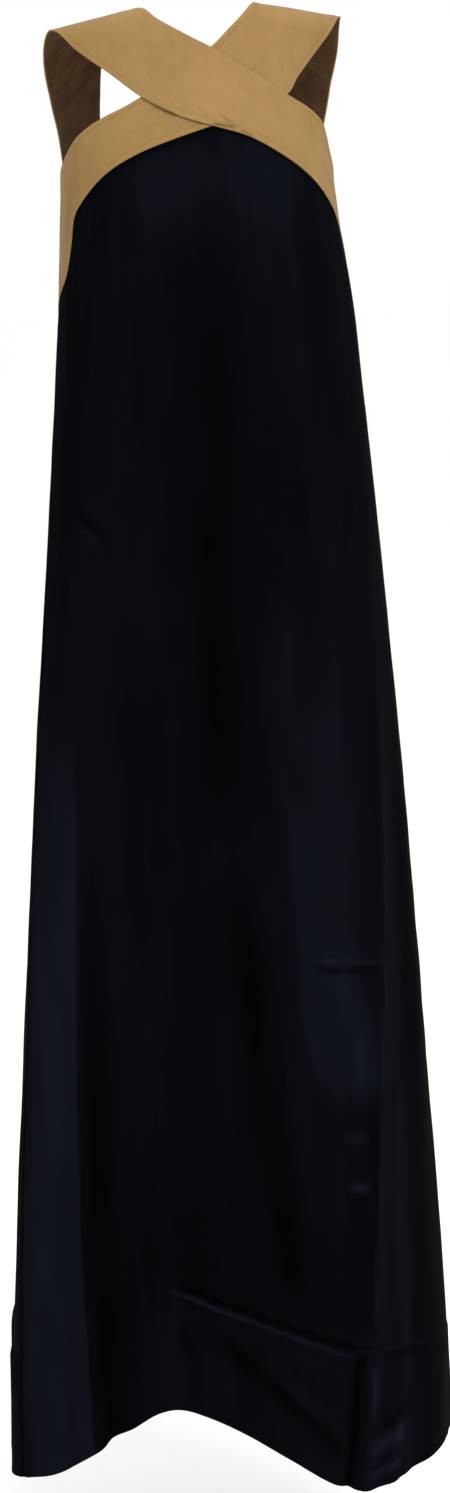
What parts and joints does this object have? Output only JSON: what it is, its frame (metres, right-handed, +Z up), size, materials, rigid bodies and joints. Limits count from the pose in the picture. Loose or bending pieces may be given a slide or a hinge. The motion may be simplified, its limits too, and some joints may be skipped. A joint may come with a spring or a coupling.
{
  "type": "evening dress",
  "caption": "Full-length sleeveless A-line evening dress in its worn hollow form, with wide crossed front bands, back straps and a low back.",
  "frame": {"origin": "middle of the shoulder line that the two straps hang from, in the plane of the side seams", "axes": "+Z up along the dress, -Y out of the front, +X to the right as seen from the front"},
  "size_m": [0.4837, 0.3472, 1.4903],
  "materials": {
    "navy_cloth": "matt twill",
    "tan_cloth": "soft satin twill"
  },
  "bodies": {
    "root": {"front_panel": "navy_cloth", "back_panel": "navy_cloth", "front_band_over": "tan_cloth", "front_band_under": "tan_cloth", "back_band": "tan_cloth", "back_strap_left": "tan_cloth", "back_strap_right": "tan_cloth"}
  },
  "joints": []
}
